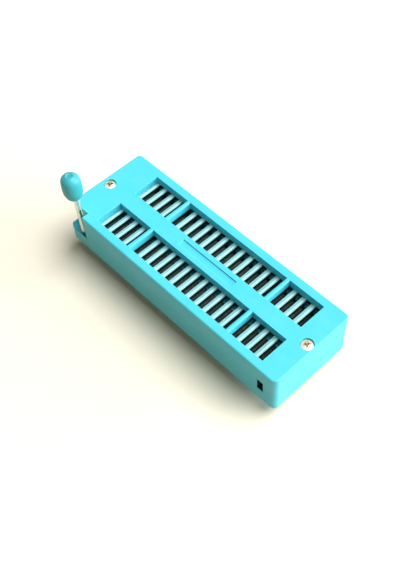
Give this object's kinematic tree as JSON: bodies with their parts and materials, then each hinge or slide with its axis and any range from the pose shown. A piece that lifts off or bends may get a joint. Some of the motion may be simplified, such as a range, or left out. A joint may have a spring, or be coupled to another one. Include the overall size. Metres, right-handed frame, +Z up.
{
  "type": "zif socket",
  "caption": "Zero-insertion-force socket for dual-in-line packages: a long low body with two slotted windows and a lever at one corner.",
  "frame": {"origin": "middle of the pin grid, on the seating face under the base", "axes": "+X along the rows, away from the lever end; +Y across the rows to the back; +Z up from the board"},
  "size_m": [0.0649, 0.0237, 0.026],
  "materials": {
    "body_plastic": "moulded, satin",
    "slider_plastic": "moulded, satin",
    "knob_plastic": "moulded, smooth",
    "lever_wire": "nickel plated",
    "screw_metal": "nickel plated",
    "contact_metal": "plated spring bronze"
  },
  "bodies": {
    "housing": {"base": "body_plastic", "cover": "body_plastic", "screw_lever_end": "screw_metal", "screw_far_end": "screw_metal", "contact_01": "contact_metal", "contact_02": "contact_metal", "contact_03": "contact_metal", "contact_04": "contact_metal", "contact_05": "contact_metal", "contact_06": "contact_metal", "contact_07": "contact_metal", "contact_08": "contact_metal", "contact_09": "contact_metal", "contact_10": "contact_metal", "contact_11": "contact_metal", "contact_12": "contact_metal", "contact_13": "contact_metal", "contact_14": "contact_metal", "contact_15": "contact_metal", "contact_16": "contact_metal", "contact_17": "contact_metal", "contact_18": "contact_metal", "contact_19": "contact_metal", "contact_20": "contact_metal", "contact_21": "contact_metal", "contact_22": "contact_metal", "contact_23": "contact_metal", "contact_24": "contact_metal", "contact_25": "contact_metal", "contact_26": "contact_metal", "contact_27": "contact_metal", "contact_28": "contact_metal", "contact_29": "contact_metal", "contact_30": "contact_metal", "contact_31": "contact_metal", "contact_32": "contact_metal", "contact_33": "contact_metal", "contact_34": "contact_metal", "contact_35": "contact_metal", "contact_36": "contact_metal", "contact_37": "contact_metal", "contact_38": "contact_metal", "contact_39": "contact_metal", "contact_40": "contact_metal"},
    "slider": {"slider": "slider_plastic"},
    "lever": {"lever": "lever_wire", "lever_knob": "knob_plastic"}
  },
  "joints": [
    {"name": "lever_turn", "type": "hinge", "parent": "housing", "child": "lever", "pos_m": [-0.0301, 0, 0.0044], "axis": [0, -1, 0], "range_deg": [0, 73]},
    {"name": "slider_travel", "type": "slide", "parent": "housing", "child": "slider", "axis": [1, 0, 0], "range_m": [0, 0.00047586]}
  ],
  "couplings": [
    {"joint": "lever_turn", "follows": "slider_travel", "rad_per_m": 2677.4}
  ]
}
